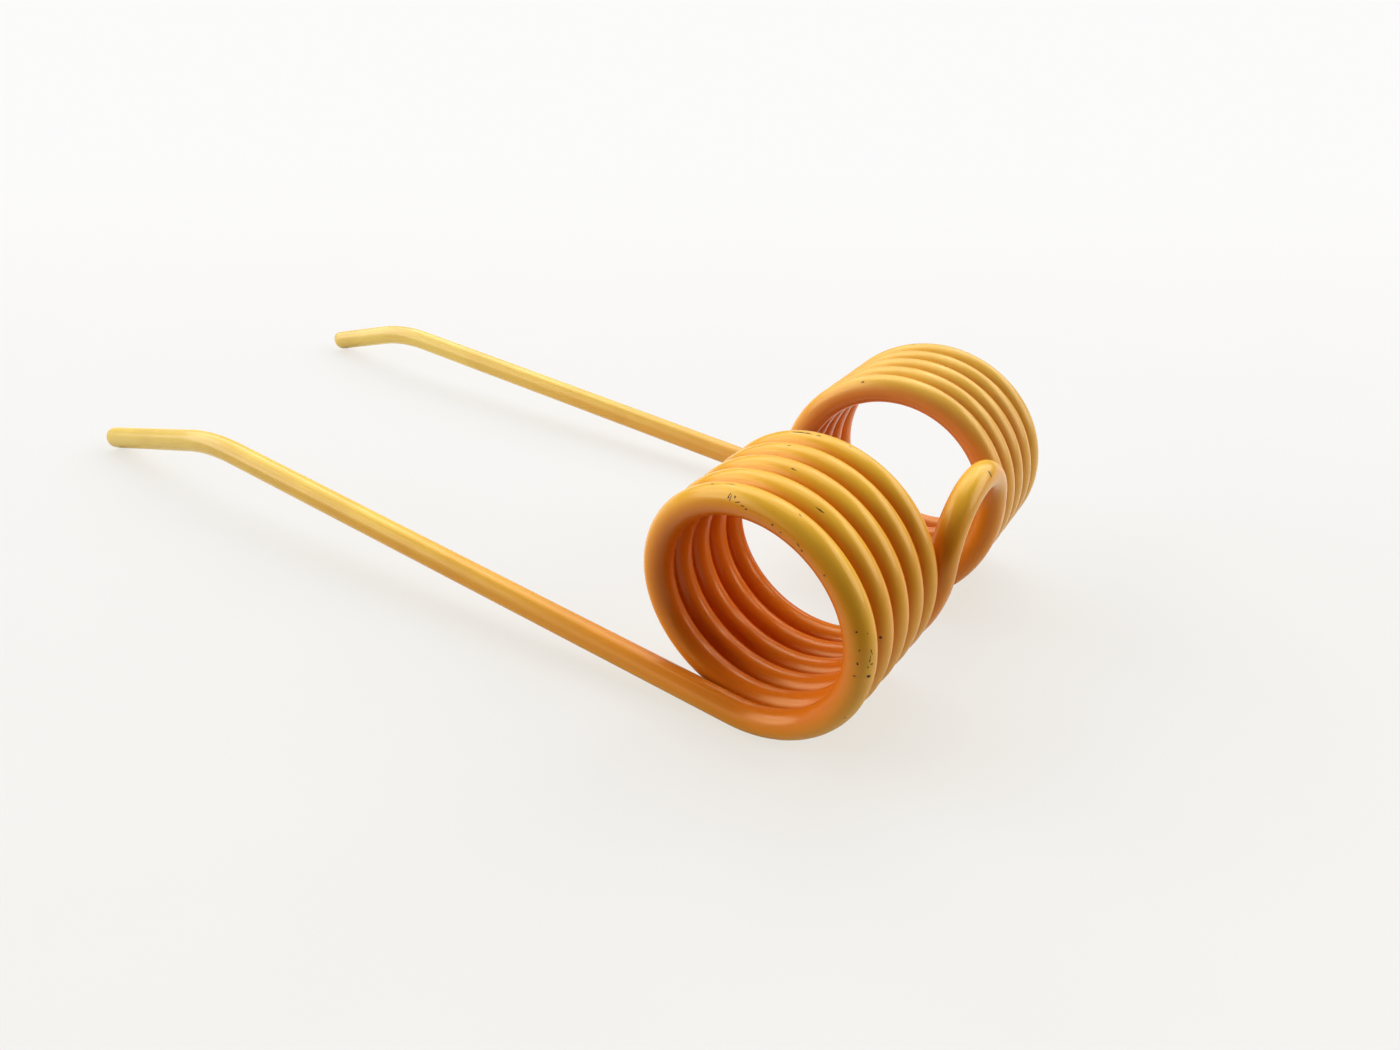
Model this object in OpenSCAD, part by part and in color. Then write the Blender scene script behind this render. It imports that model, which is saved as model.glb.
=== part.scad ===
// Double spring tine, as on a hay tedder or rake: one length of spring steel wire.
// A loop in the middle joins two close wound coils, and each coil runs out into a long arm
// whose end turns down. It lies as it rests, on the coils' outer ends and the two tips.
// X runs from the tips to the loop, Y along the coils and Z up, from the middle of the coils' axis.

/* [Wire] */
// Diameter of the wire
wire_d = 8; // [6:0.5:10]
// Gap between one turn and the next, about the thickness of the paint on both
turn_gap = 0.25; // [0.1:0.05:1]
// Angle of the sheared faces at the two ends, from square
cut_angle = 6; // [0:1:20]

/* [Coils] */
// Outside diameter of each coil
coil_od = 70; // [60:1:90]
// Whole turns in each coil, not counting the part turn that brings the wire round to its arm
coil_turns = 5; // [3:1:8]
// Angle below the coils' axis at which the loop's legs leave the coils
leg_angle = 35; // [10:0.5:45]
// Angle that each coil's axis is swung round, so that the arms run out side by side
coil_toe = 1.7; // [0:0.1:4]
// Angle that each coil's axis hangs down towards its outer end
coil_droop = 1.6; // [0:0.1:4]

/* [Loop] */
// Clear width inside the loop
loop_w = 27.2; // [20:0.2:40]
// Bend radius of the legs that run from the coils up into the loop
leg_r = 40; // [36:1:60]
// Angle that the loop leans away from the coils, from upright
loop_lean = 0.7; // [0:0.1:8]

/* [Near arm] */
// Angle at which the arm rises as it leaves its coil
near_rise = 4.5; // [0:0.1:10]
// Straight length of the arm, from the coil to the bend
near_arm_l = 205.5; // [120:0.5:260]
// Angle of the bend
near_bend = 18.9; // [10:0.1:40]
// Straight length of the tip beyond the bend
near_tip_l = 55.4; // [20:0.1:100]

/* [Far arm] */
// Angle at which the arm rises as it leaves its coil
far_rise = 3.1; // [0:0.1:10]
// Straight length of the arm, from the coil to the bend
far_arm_l = 240; // [120:0.5:300]
// Angle of the bend
far_bend = 19.7; // [10:0.1:40]
// Straight length of the tip beyond the bend
far_tip_l = 33.8; // [20:0.1:100]

/* [Arm bends] */
// Bend radius in the middle of the wire where an arm turns down into its tip
bend_r = 80; // [40:5:120]

/* [Hidden] */

$fa = 6;
$fs = 0.6;
PAINT = [0.86, 0.60, 0.20];

coil_r = (coil_od - wire_d) / 2;      // to the middle of the wire
pitch = wire_d + turn_gap;
loop_r = (loop_w + wire_d) / 2;       // to the middle of the wire
ARCS_A_TURN = 4;                      // a coil is a chain of true arcs, each tilted to the lead
SEAM = 0.15;                          // each arc or straight stops this far short of its joints
SLEEVE_L = 0.8;                       // and a short sleeve, a hair thicker than the wire, closes
SLEEVE_RISE = 0.06;                   // each joint without a step that could be seen or felt

// ---- Vectors ----

function unit(v) = v / norm(v);

// A direction or an offset on a coil, turned by the coil's toe and droop
function about_z(v, a) = [v.x * cos(a) - v.y * sin(a), v.x * sin(a) + v.y * cos(a), v.z];
function about_x(v, a) = [v.x, v.y * cos(a) - v.z * sin(a), v.y * sin(a) + v.z * cos(a)];
function set(v) = about_z(about_x(v, -coil_droop), coil_toe);

// ---- The wire's path ----
// A path is a list of joints, each [place, direction of travel]. Between two joints the wire is
// one arc, or straight where both point the same way. The paths run from the middle of the loop
// out to a tip, on the +Y side.

// Joint number k of a coil whose arcs each cover the angle step, as [offset from its first joint, direction]
function coil_angle(k, step) = -leg_angle - k * step;
function coil_place(k, step) =
    let (a = coil_angle(k, step))
    [coil_r * cos(a), pitch * k * step / 360, coil_r * sin(a)];
function coil_joint(k, step) =
    let (
        a = coil_angle(k, step),
        half = step / 2,
        tilt = atan(pitch * step / 360 / (2 * coil_r * sin(half))),
        half_arc = atan(tan(half) * cos(tilt)),
        lead = asin(cos(half_arc) * sin(tilt))
    )
    [set(coil_place(k, step) - coil_place(0, step)),
     set([cos(lead) * sin(a), sin(lead), -cos(lead) * cos(a)])];

function half_path(rise, arm_l, bend, tip_l) =
    let (
        sweep = 360 * coil_turns + 90 - leg_angle + rise,
        arcs = ceil(sweep / 360 * ARCS_A_TURN),
        step = sweep / arcs,
        // The loop: a quarter circle in the plane that leans by loop_lean, then the leg's arc
        down = [-sin(loop_lean), 0, -cos(loop_lean)],
        into_coil = coil_joint(0, step)[1],
        leg_turn = acos(down * into_coil),
        leg = leg_r * tan(leg_turn / 2) * (down + into_coil),
        coil_at = [coil_place(0, step).x, loop_r + leg.y, coil_place(0, step).z],
        leg_top = coil_at - leg,
        loop_top = [leg_top.x, 0, leg_top.z] - loop_r * down,
        // The arm, its bend and its tip
        from_coil = coil_joint(arcs, step),
        arm_at = coil_at + from_coil[0],
        out = from_coil[1],
        level = unit([out.x, out.y, 0]),
        lift = asin(out.z) - bend,
        tip_dir = level * cos(lift) + [0, 0, sin(lift)],
        arm_end = arm_at + arm_l * out,
        tip_at = arm_end + bend_r * tan(bend / 2) * (out + tip_dir)
    )
    concat(
        [[loop_top, [0, 1, 0]], [leg_top, down]],
        [for (k = [0:arcs]) [coil_at + coil_joint(k, step)[0], coil_joint(k, step)[1]]],
        [[arm_end, out], [tip_at, tip_dir], [tip_at + tip_l * tip_dir, tip_dir]]
    );

// ---- Wire between two joints ----

module along(dir) {
    rotate([0, acos(dir.z), atan2(dir.y, dir.x)])
        children();
}

module straight(from, to, end_seam) {
    translate(from[0])
        along(from[1])
            translate([0, 0, SEAM])
                cylinder(d = wire_d, h = norm(to[0] - from[0]) - SEAM - end_seam);
}

// An arc lies in the plane of its two directions, and its radius follows from its chord
module arc(from, to) {
    turn = acos(from[1] * to[1]);
    r = norm(to[0] - from[0]) / 2 / sin(turn / 2);
    inward = unit(to[1] - cos(turn) * from[1]);
    up = cross(from[1], inward);
    centre = from[0] + r * inward;
    gap = SEAM / r * 180 / PI;
    multmatrix([
        [-inward.x, from[1].x, up.x, centre.x],
        [-inward.y, from[1].y, up.y, centre.y],
        [-inward.z, from[1].z, up.z, centre.z],
        [0, 0, 0, 1]
    ])
        rotate([0, 0, gap])
            rotate_extrude(angle = turn - 2 * gap)
                translate([r, 0])
                    circle(d = wire_d);
}

module sleeve(at) {
    translate(at[0])
        along(at[1])
            cylinder(d = wire_d + SLEEVE_RISE, h = SLEEVE_L, center = true);
}

// A bar of wire that runs on past the tip and is sheared off at cut_angle
module sheared_end(from, to) {
    past = wire_d;
    difference() {
        straight(from, [to[0] + past * to[1], to[1]], 0);
        translate(to[0])
            along(to[1])
                rotate([0, cut_angle, 0])
                    translate([-wire_d, -wire_d, 0])
                        cube([2 * wire_d, 2 * wire_d, 2 * past]);
    }
}

// Half of the tine, from the middle of the loop to the tip
module half_tine(path) {
    last = len(path) - 1;
    for (i = [1:last - 1]) {
        sleeve(path[i]);
        if (norm(path[i][1] - path[i - 1][1]) < 0.001)
            straight(path[i - 1], path[i], SEAM);
        else
            arc(path[i - 1], path[i]);
    }
    sheared_end(path[last - 1], path[last]);
}

// ---- The tine ----

module spring_tine() {
    near = half_path(near_rise, near_arm_l, near_bend, near_tip_l);
    far = half_path(far_rise, far_arm_l, far_bend, far_tip_l);
    color(PAINT) {
        half_tine(far);
        mirror([0, 1, 0])
            half_tine(near);
        sleeve(far[0]);
    }
}

spring_tine();
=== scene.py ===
from math import acos, asin, atan, ceil, cos, pi, radians, sin, tan

import bmesh
import bpy
from mathutils import Matrix, Vector


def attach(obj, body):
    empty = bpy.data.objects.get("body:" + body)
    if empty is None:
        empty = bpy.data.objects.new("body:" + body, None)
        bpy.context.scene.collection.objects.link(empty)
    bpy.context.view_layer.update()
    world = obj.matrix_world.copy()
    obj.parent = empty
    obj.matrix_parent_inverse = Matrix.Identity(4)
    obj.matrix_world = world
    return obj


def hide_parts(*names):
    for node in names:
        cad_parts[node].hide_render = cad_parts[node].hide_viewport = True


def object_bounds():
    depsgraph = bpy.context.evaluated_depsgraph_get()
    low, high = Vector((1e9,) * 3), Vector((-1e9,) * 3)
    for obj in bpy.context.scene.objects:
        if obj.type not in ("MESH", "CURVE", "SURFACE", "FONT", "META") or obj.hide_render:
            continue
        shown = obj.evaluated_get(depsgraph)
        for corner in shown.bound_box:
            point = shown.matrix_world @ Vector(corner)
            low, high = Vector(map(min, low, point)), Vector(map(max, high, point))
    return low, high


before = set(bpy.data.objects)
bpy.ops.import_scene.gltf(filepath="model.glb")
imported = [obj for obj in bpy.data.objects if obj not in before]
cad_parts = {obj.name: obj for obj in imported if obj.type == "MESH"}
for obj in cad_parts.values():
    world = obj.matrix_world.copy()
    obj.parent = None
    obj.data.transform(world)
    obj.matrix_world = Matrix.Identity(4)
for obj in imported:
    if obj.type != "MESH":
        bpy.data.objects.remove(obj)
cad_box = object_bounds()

# ---- Wire ----
# The whole tine is one length of drawn spring steel. It is bent cold into the loop that a bolt
# clamps, and then on each side into a leg, a close wound coil, a long arm and a turned-down tip.
WIRE_R = 0.003995       # a hair under the solid wire's, whose joints are a hair over
COIL_R = 0.031          # this and all bends are to the middle of the wire
PITCH = 0.00825
COIL_TURNS = 5
LEG_ANGLE = radians(35)
COIL_TOE, COIL_DROOP = radians(1.7), radians(1.6)
LOOP_R, LEG_R, LOOP_LEAN = 0.0176, 0.040, radians(0.7)
NEAR_ARM = dict(rise=radians(4.5), arm_l=0.2055, bend=radians(18.9), tip_l=0.0554)
FAR_ARM = dict(rise=radians(3.1), arm_l=0.2400, bend=radians(19.7), tip_l=0.0338)
ARM_BEND_R = 0.080
CUT_ANGLE = radians(6)  # of the sheared tips, from square
ARCS_A_TURN = 4         # each coil is laid as a chain of true arcs, tilted to its lead

FACETS_ROUND = 32
BENT_STEP = 0.0017      # from one ring of the mesh to the next where the wire bends
STRAIGHT_STEP = 0.006   # and where it is straight
END_ROLL_W, END_ROLL_D = 0.0003, 0.00012    # the rolled edge of each sheared face
END_CROWN = 0.00006
SAME_DIR, SAME_PLACE = 1e-4, 1e-4


def coil_set(v):
    """A direction or offset on a coil, turned by the coil's toe and droop."""
    return Matrix.Rotation(COIL_TOE, 3, "Z") @ Matrix.Rotation(-COIL_DROOP, 3, "X") @ v


def coil_place(k, step):
    """Joint k of the coil, from the middle of its first turn."""
    a = -LEG_ANGLE - k * step
    return Vector((COIL_R * cos(a), PITCH * k * step / (2 * pi), COIL_R * sin(a)))


def coil_dir(k, step):
    a = -LEG_ANGLE - k * step
    tilt = atan(PITCH * step / (2 * pi) / (2 * COIL_R * sin(step / 2)))
    lead = asin(cos(atan(tan(step / 2) * cos(tilt))) * sin(tilt))
    return coil_set(Vector((cos(lead) * sin(a), sin(lead), -cos(lead) * cos(a))))


def half_joints(rise, arm_l, bend, tip_l):
    """Joints of half of the wire, from the middle of the loop out to the tip on the +Y side. Each
    is a place and a direction; between two of them the wire is one arc, or straight."""
    sweep = 2 * pi * COIL_TURNS + pi / 2 - LEG_ANGLE + rise
    arcs = ceil(sweep / (2 * pi) * ARCS_A_TURN)
    step = sweep / arcs
    down = Vector((-sin(LOOP_LEAN), 0, -cos(LOOP_LEAN)))
    into = coil_dir(0, step)
    leg = LEG_R * tan(acos(down.dot(into)) / 2) * (down + into)
    start = coil_place(0, step)
    coil_at = Vector((start.x, LOOP_R + leg.y, start.z))
    leg_top = coil_at - leg
    loop_top = Vector((leg_top.x, 0, leg_top.z)) - LOOP_R * down
    coil = [(coil_at + coil_set(coil_place(k, step) - start), coil_dir(k, step))
            for k in range(arcs + 1)]
    arm_at, out = coil[-1]
    level = Vector((out.x, out.y, 0)).normalized()
    lift = asin(out.z) - bend
    tip_dir = level * cos(lift) + Vector((0, 0, sin(lift)))
    arm_end = arm_at + arm_l * out
    tip_at = arm_end + ARM_BEND_R * tan(bend / 2) * (out + tip_dir)
    return ([(loop_top, Vector((0, 1, 0))), (leg_top, down)] + coil
            + [(arm_end, out), (tip_at, tip_dir), (tip_at + tip_l * tip_dir, tip_dir)])


def stations(joints):
    """Places and directions close together along half of the wire, with how far along each is."""
    found, gone = [(*joints[0], 0.0)], 0.0
    for (p, d), (q, e) in zip(joints, joints[1:]):
        turned = acos(min(1, d.dot(e)))
        chord = (q - p).length
        if turned < SAME_DIR:
            n, length = max(1, round(chord / STRAIGHT_STEP)), chord
            found += [(p.lerp(q, i / n), e, gone + length * i / n) for i in range(1, n + 1)]
        else:
            r = chord / 2 / sin(turned / 2)
            inward = (e - cos(turned) * d).normalized()
            n, length = max(2, round(r * turned / BENT_STEP)), r * turned
            for i in range(1, n + 1):
                a = turned * i / n
                found.append((p + r * sin(a) * d + r * (1 - cos(a)) * inward,
                              cos(a) * d + sin(a) * inward, gone + length * i / n))
        gone += length
    return found


def across(v, d):
    """What is left of v square to the direction d, as a unit."""
    return (v - v.dot(d) * d).normalized()


def with_outer_side(found, joints):
    """Adds the direction across the wire that faces out of the coil. It is carried back from the
    coil's first turn into the loop, and on from its last turn along the arm."""
    axis = coil_set(Vector((0, 1, 0)))
    middle = joints[2][0] - coil_set(coil_place(0, 0))
    first, last = (next(i for i, s in enumerate(found)
                        if (s[0] - joints[j][0]).length < SAME_PLACE) for j in (2, -4))
    sides = [across(s[0] - middle - (s[0] - middle).dot(axis) * axis, s[1]) for s in found]
    for i in range(first - 1, -1, -1):
        sides[i] = across(sides[i + 1], found[i][1])
    for i in range(last + 1, len(found)):
        sides[i] = across(sides[i - 1], found[i][1])
    return [(*s, side) for s, side in zip(found, sides)]


def mirrored(found):
    """The same half on the -Y side, travelling from its tip in to the loop."""
    flip = Matrix.Diagonal((1, -1, 1))
    return [(flip @ p, -(flip @ d), -gone, flip @ side) for p, d, gone, side in found]


def station_of(vert):
    """Which station a point of the flat sheet belongs to."""
    return round((vert.co.x + 1) / 2 * (len(wire) - 1))


near_joints, far_joints = half_joints(**NEAR_ARM), half_joints(**FAR_ARM)
wire = (mirrored(with_outer_side(stations(near_joints), near_joints))[:0:-1]
        + with_outer_side(stations(far_joints), far_joints))

# A flat sheet, as long as the wire and as wide as its girth, is rolled into a tube along the
# stations. Its map keeps how far along the wire a point is from the middle of the loop and how
# far round it is from the outer side, in metres.
bm = bmesh.new()
bmesh.ops.create_grid(bm, x_segments=len(wire) - 1, y_segments=FACETS_ROUND, size=1)
wire_map = bm.loops.layers.uv.new("wire")
standing = [Matrix.Translation(p) @ Matrix((side, d.cross(side), d)).transposed().to_4x4()
            for p, d, gone, side in wire]
for face in bm.faces:
    face.smooth = True
    for loop in face.loops:
        gone = wire[station_of(loop.vert)][2]
        loop[wire_map].uv = (gone, loop.vert.co.y * pi * WIRE_R)
ends = [[], []]
for v in bm.verts:
    station, a = station_of(v), v.co.y * pi
    v.co = standing[station] @ Vector((WIRE_R * cos(a), WIRE_R * sin(a), 0))
    if station in (0, len(wire) - 1):
        ends[station > 0].append(v)
# The shear leaves each end face leaning back from its top edge.
for verts, (p, d, gone, side), sign in ((ends[0], wire[0], -1), (ends[1], wire[-1], 1)):
    lean = Matrix.Identity(3)
    for row in range(3):
        lean[row][2] += sign * tan(CUT_ANGLE) * d[row]
    bmesh.ops.transform(bm, matrix=lean.to_4x4(), space=Matrix.Translation(-p), verts=verts)
bmesh.ops.remove_doubles(bm, verts=bm.verts, dist=1e-5)
closed = bmesh.ops.holes_fill(bm, edges=[edge for edge in bm.edges if edge.is_boundary])["faces"]
bmesh.ops.recalc_face_normals(bm, faces=bm.faces)
# Each sheared face has a slightly rolled edge and a slightly crowned middle.
bmesh.ops.inset_individual(bm, faces=closed, thickness=END_ROLL_W, depth=END_ROLL_D)
bmesh.ops.poke(bm, faces=closed, offset=END_CROWN)
# How far each point faces up is kept as well, so that the paint can be made paler on top as painted
# light.
bm.normal_update()
faces_up = bm.verts.layers.float.new("faces_up")
for v in bm.verts:
    v[faces_up] = v.normal.z
mesh = bpy.data.meshes.new("tine_wire")
bm.to_mesh(mesh)
bm.free()
tine = bpy.data.objects.new("tine_wire", mesh)
bpy.context.collection.objects.link(tine)


class Socket:
    """A shader value that adds, multiplies and compares as a number does."""
    tree = None

    def __init__(self, socket):
        self.socket = socket

    @classmethod
    def node(cls, kind, out=0, inputs=None, **settings):
        """A node of any kind, with its settings and then its sockets' values or links."""
        made = cls.tree.nodes.new(kind)
        for name, value in settings.items():
            setattr(made, name, value)
        for name, value in (inputs or {}).items():
            if isinstance(value, Socket):
                cls.tree.links.new(value.socket, made.inputs[name])
            else:
                made.inputs[name].default_value = value
        return cls(made.outputs[out])

    def maths(self, operation, *others):
        return Socket.node("ShaderNodeMath", operation=operation,
                           inputs=dict(enumerate((self, *others))))

    def __add__(self, other): return self.maths("ADD", other)
    def __sub__(self, other): return self.maths("SUBTRACT", other)
    def __mul__(self, other): return self.maths("MULTIPLY", other)
    def __truediv__(self, other): return self.maths("DIVIDE", other)
    def __rsub__(self, other): return Socket.node("ShaderNodeMath", operation="SUBTRACT",
                                                  inputs={0: other, 1: self})
    __radd__, __rmul__ = __add__, __mul__

    def most(self, other): return self.maths("MAXIMUM", other)
    def cosine(self): return self.maths("COSINE")

    def between(self, low, high):
        """0 up to low, 1 from high, smooth between them."""
        return Socket.node("ShaderNodeMapRange", interpolation_type="SMOOTHSTEP",
                           inputs={"Value": self, "From Min": low, "From Max": high})


def combined(x, y, z):
    return Socket.node("ShaderNodeCombineXYZ", inputs={"X": x, "Y": y, "Z": z})


def noise(vector, scale, detail=2.0, roughness=0.5):
    return Socket.node("ShaderNodeTexNoise", inputs={
        "Vector": vector, "Scale": scale, "Detail": detail, "Roughness": roughness})


def mixed(factor, a, b):
    return Socket.node("ShaderNodeMix", out=2, data_type="RGBA", inputs={0: factor, 6: a, 7: b})


def new_material(name):
    material = bpy.data.materials.new(name)
    material.use_nodes = True
    Socket.tree = material.node_tree
    return material, Socket.tree.nodes["Principled BSDF"]


def feed(shader, **values):
    for name, value in values.items():
        socket = shader.inputs[name.replace("_", " ")]
        if isinstance(value, Socket):
            Socket.tree.links.new(value.socket, socket)
        else:
            socket.default_value = value


# Glossy orange-yellow paint, with light and shade painted into its colour. It is darker and redder
# inside the coils, between the turns and under the arms as painted shade, less so on the end turns'
# free sides, and paler on top as painted light. It is paler along the arms, most at the tips, and a
# little paler on the far half as painted highlight and haze. It has a slight orange peel, and small
# chips and scuffs where other tines have knocked it.
# Painted shade: a dark red for the coils' insides and a deep orange for the sides of the turns.
DEEP_SHADE, SIDE_SHADE = (0.65, 0.150, 0.007, 1), (0.72, 0.220, 0.009, 1)
# A lighter painted shade for the end turns' free sides, and a paler colour put on top as painted
# light.
END_SIDE_SHADE, UPPER_LIT = (0.75, 0.320, 0.016, 1), (0.75, 0.420, 0.038, 1)
# Painted shade: a deeper orange for the arms' undersides, then the arms' own colours, paler at the
# tips.
ARM_UNDER_SHADE, ARM, TIP = (0.74, 0.360, 0.030, 1), (0.75, 0.480, 0.065, 1), (0.82, 0.570, 0.105, 1)
# A pale colour laid over the far half as painted highlight and haze, and a darker stain for random
# patches.
FAR_HAZE_HIGHLIGHT, STAINED = (0.88, 0.70, 0.32, 1), (0.50, 0.18, 0.008, 1)
STEEL = (0.035, 0.012, 0.004, 1)
# Where the paint of one stretch runs over into the next, in mm from the middle of the loop
CROWN, LOOP, LEG, FAR_COIL = (10, 40), (20, 100), (60, 130), (0, 200)
END_TURN, COIL_TO_ARM = (850, 950), (1020, 1220)
ARM_TO_TIP, TIP_ALL_ROUND = (1100, 1330), (1150, 1300)
CHIPS = (  # mm along the wire and round it, then length, width and degrees of slant
    # top of the near coil's end turn
    (-947.5, -0.5, 1.3, 0.3, 0), (-952, 0, 3.2, 0.25, 0),
    (-953.5, -3.5, 0.3, 1.7, 12), (-954, -4, 0.25, 2.2, 8), (-955, -3.5, 0.35, 0.9, -10),
    (-956, -4.5, 1.6, 0.3, -20), (-957.5, -5, 1.1, 0.3, 15), (-958.5, -5.5, 0.7, 0.45, 0),
    (-966, -6, 0.6, 0.55, 0), (-968.5, -6.5, 0.4, 0.4, 0), (-969.5, 0, 0.9, 0.35, 25),
    (-973.5, -6, 1.1, 0.4, 15), (-975, -6.5, 0.6, 0.5, 0), (-982.5, -6, 0.5, 0.45, 0),
    # its side
    (-997, -4.5, 0.5, 0.5, 0), (-998, -2, 0.4, 0.4, 0), (-1001.5, -4.5, 0.5, 0.5, 0),
    (-1002.5, -1.5, 1.6, 0.3, -18), (-1004, -2, 1.9, 0.3, 14), (-1005, -5, 0.7, 0.55, 0),
    (-1005.5, -1.5, 0.5, 0.8, 0), (-1006, -2.5, 0.5, 0.5, 0), (-1008.5, -5.5, 0.35, 1.0, 0),
    (-1008.5, -2, 0.8, 1.2, 20), (-1022, -3, 0.5, 0.7, 0),
    # the turns behind it
    (-776.5, -2, 2.1, 0.4, 0), (-808, -3.5, 0.7, 0.7, 0), (-570, -2, 1.7, 0.3, 4),
    (-368.5, -0.5, 1.1, 0.3, 0), (-172.5, -0.5, 6.0, 0.5, 0), (-177, -0.5, 1.6, 0.35, 0),
    (-185, 0, 0.7, 0.4, 0),
    # the far coil and the top of the loop
    (168.5, 3, 0.9, 0.6, 0), (950, 0, 1.3, 0.5, 0), (0, -3, 0.5, 2.4, 8),
)

paint, shader = new_material("orange_paint")
place = Socket.node("ShaderNodeTexCoord", out="Object")
on_wire = Socket.node("ShaderNodeUVMap", uv_map="wire")
split = Socket.node("ShaderNodeSeparateXYZ", inputs={0: on_wire})
along, around = (Socket(split.socket.node.outputs[i]) * 1000.0 for i in (0, 1))
facing_out = (around / (WIRE_R * 1000)).cosine()
from_loop = along.maths("ABSOLUTE")

crown = 1 - from_loop.between(*CROWN)
# Painted shade: sides of the turns facing into the coil take the darkest colour, the rest a lighter
# shade, lighter still on the end turns.
outside = facing_out.between(-0.7, 0.9).most(1 - from_loop.between(*LOOP))
on_top = Socket.node("ShaderNodeAttribute", out="Fac",
                     attribute_name="faces_up").between(0.0, 1.0)
# Painted light: where the paler top colour goes, on upward and outward faces, less on the loop's
# legs.
painted_top_light = (on_top.most(facing_out.between(0.4, 1.0) * 0.6)
          * (from_loop.between(*LEG).most(crown) * 0.75 + 0.25))
side_shade = mixed(from_loop.between(*END_TURN), SIDE_SHADE, END_SIDE_SHADE)
coil_shade_and_light = mixed(outside * painted_top_light, mixed(outside, DEEP_SHADE, side_shade), UPPER_LIT)
# Painted shade: the arms take the deeper orange underneath, except towards the tips, which are
# paler all round.
arm_paint_and_shade = mixed(on_top.most(from_loop.between(*TIP_ALL_ROUND)), ARM_UNDER_SHADE,
                 mixed(from_loop.between(*ARM_TO_TIP), ARM, TIP))
shade_and_light = mixed(from_loop.between(*COIL_TO_ARM), coil_shade_and_light, arm_paint_and_shade)
# Painted highlight and haze: the far half is mixed a little towards a pale colour.
shade_and_light = mixed(along.between(*FAR_COIL) * 0.12, shade_and_light, FAR_HAZE_HIGHLIGHT)
drift = noise(place, 45.0, 3.0)
colour = mixed(drift.between(0.35, 0.75) * 0.22, shade_and_light, STAINED)

ragged = noise(place, 2400.0, 1.0) * 0.5 - 0.25
worn_map = combined(along + ragged, around - ragged, 0.0)
nearest = None
for at_along, at_round, length, width, slant in CHIPS:
    chip = Socket.node("ShaderNodeMapping", vector_type="TEXTURE", inputs={
        "Vector": worn_map, "Location": (at_along, at_round, 0),
        "Rotation": (0, 0, radians(slant)), "Scale": (length / 2, width / 2, 1)})
    off = Socket.node("ShaderNodeVectorMath", out="Value", operation="LENGTH", inputs={0: chip})
    nearest = nearest.maths("MINIMUM", off) if nearest else off
specks = (noise(place, 2300.0, 2.0, 0.6).between(0.745, 0.76)
          * noise(place, 110.0, 2.0).between(0.54, 0.66) * facing_out.between(0.0, 0.7))
chips = (1 - nearest.between(0.75, 1.15)).most(specks)

peel = noise(place, 650.0, 2.0)
feed(shader, Base_Color=mixed(chips, colour, STEEL),
     Roughness=drift * 0.08 + 0.20 + chips * 0.4,
     IOR=1.52, Specular_Tint=(1.0, 0.72, 0.36, 1),
     Normal=Socket.node("ShaderNodeBump", inputs={
         "Strength": 0.05, "Distance": 0.00003, "Height": peel * 0.3 - chips}))

mesh.materials.append(paint)
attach(tine, "root")
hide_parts("spring_tine")

# ---- Floor ----
# A plain pale sheet that runs on past every edge of the view, slightly mottled and paler towards
# the back. The camera sees it paler and with fainter shadows than the paint's reflections do.
VIEW_TURN = radians(33.113)
BEHIND = Vector((-sin(VIEW_TURN), cos(VIEW_TURN), 0))
RIGHTWARD = Vector((cos(VIEW_TURN), sin(VIEW_TURN), 0))
SHEET_SIZE, SHEET_GREY = 16, (0.145, 0.168, 0.20, 1)
GLOW, GLOW_PATCH = (0.684, 0.643, 0.572, 1), (0.699, 0.659, 0.589, 1)
GLOW_FAR = (0.765, 0.725, 0.675, 1)
BOUNCE_IN_FRONT, BOUNCE = (0.04, 0.04, 0.04, 1), (0.66, 0.66, 0.65, 1)


def dull(grey):
    return Socket.node("ShaderNodeBsdfDiffuse", inputs={"Color": grey})


def shown_as(factor, a, b):
    """Shader a where the factor is 0 and b where it is 1."""
    return Socket.node("ShaderNodeMixShader", inputs={0: factor, 1: a, 2: b})


bpy.ops.mesh.primitive_plane_add(size=SHEET_SIZE, location=(0, 0, cad_box[0].z))
floor = bpy.context.object
floor.name = "floor"
sheet, shader = new_material("pale_floor")
place = Socket.node("ShaderNodeTexCoord", out="Object")
mottle = noise(place, 9.0, 3.0).between(0.25, 0.75)
backward = Socket.node("ShaderNodeVectorMath", out="Value", operation="DOT_PRODUCT",
                       inputs={0: place, 1: BEHIND})
feed(shader, Base_Color=SHEET_GREY, Roughness=1.0, Specular_IOR_Level=0.0,
     Emission_Color=mixed(backward.between(-0.35, 0.65), mixed(mottle, GLOW, GLOW_PATCH), GLOW_FAR),
     Emission_Strength=1.0)
bounce = shown_as(backward.between(-0.22, -0.08), dull(BOUNCE_IN_FRONT), dull(BOUNCE))
seen = Socket.node("ShaderNodeLightPath", out="Is Camera Ray")
shown = shown_as(seen, bounce, Socket(shader.outputs[0]))
Socket.tree.links.new(shown.socket, Socket.tree.nodes["Material Output"].inputs["Surface"])
floor.data.materials.append(sheet)

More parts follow.
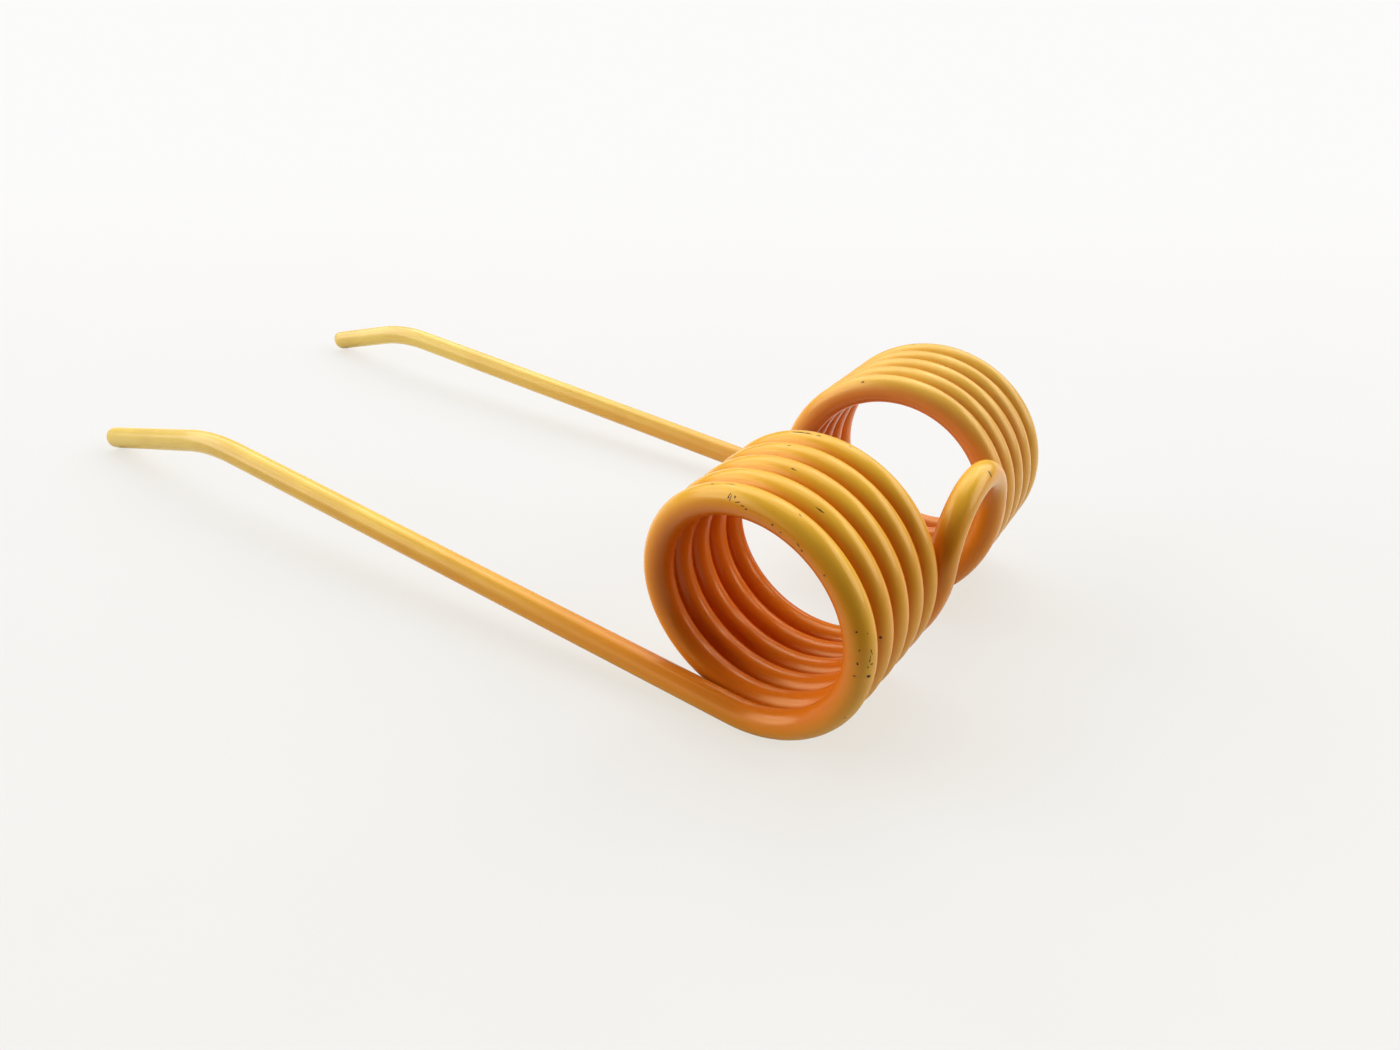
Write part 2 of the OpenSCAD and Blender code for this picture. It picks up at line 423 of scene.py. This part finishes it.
# ---- Light ----
# Soft white panels round the back and both sides and overhead, and none on the camera's side, so
# that the wire is bright along its edges and darker where it faces the camera.
PANELS = {               # degrees round from straight behind to the right, degrees up, power
    "left": (-85, 27, 1.75),
    "back_left": (-42, 35, 1.05),
    "back": (0, 38, 0.60),
    "back_right": (42, 35, 1.10),
    "right": (87, 27, 1.75),
    "low_left": (-110, 10, 0.80),
    "low_right": (110, 10, 0.35),
    "over_back": (0, 65, 1.15),
}
PANEL_SPREAD = radians(45)
FILL, BEYOND = 0.03, 0.97   # an even fill, and what shows past the sheet's edges
for name, (aside, high, power) in PANELS.items():
    a, e = radians(aside), radians(high)
    toward = (BEHIND * cos(a) + RIGHTWARD * sin(a)) * cos(e) + Vector((0, 0, sin(e)))
    panel = bpy.data.lights.new(name + "_panel", "SUN")
    panel.energy, panel.angle = power, PANEL_SPREAD
    hung = bpy.data.objects.new(name + "_panel", panel)
    hung.rotation_euler = toward.to_track_quat("Z", "Y").to_euler()
    bpy.context.collection.objects.link(hung)

world = bpy.data.worlds.new("studio")
bpy.context.scene.world = world
world.use_nodes = True
Socket.tree = world.node_tree
feed(Socket.tree.nodes["Background"], Color=(1, 1, 1, 1),
     Strength=Socket.node("ShaderNodeLightPath", out="Is Camera Ray") * (BEYOND - FILL) + FILL)

# ---- Camera ----
# It looks down on the near coil from its open end.
CAMERA_AT, LENS = Vector((0.10103, -0.23708, 0.14871)), 26.294
ELEVATION, ROLL = radians(30.991), radians(1.007)
back = Vector((sin(VIEW_TURN) * cos(ELEVATION), -cos(VIEW_TURN) * cos(ELEVATION), sin(ELEVATION)))
level = (-back).cross(Vector((0, 0, 1))).normalized()
upward = level.cross(-back)
right = cos(ROLL) * level + sin(ROLL) * upward
upright = cos(ROLL) * upward - sin(ROLL) * level
lens = bpy.data.cameras.new("camera")
lens.sensor_width, lens.lens = 36, LENS
lens.clip_start, lens.clip_end = 0.01, 50
camera = bpy.data.objects.new("camera", lens)
camera.matrix_world = (Matrix.Translation(CAMERA_AT)
                       @ Matrix((right, upright, back)).transposed().to_4x4())
bpy.context.collection.objects.link(camera)
bpy.context.scene.camera = camera
bpy.context.scene.view_settings.view_transform = "Standard"
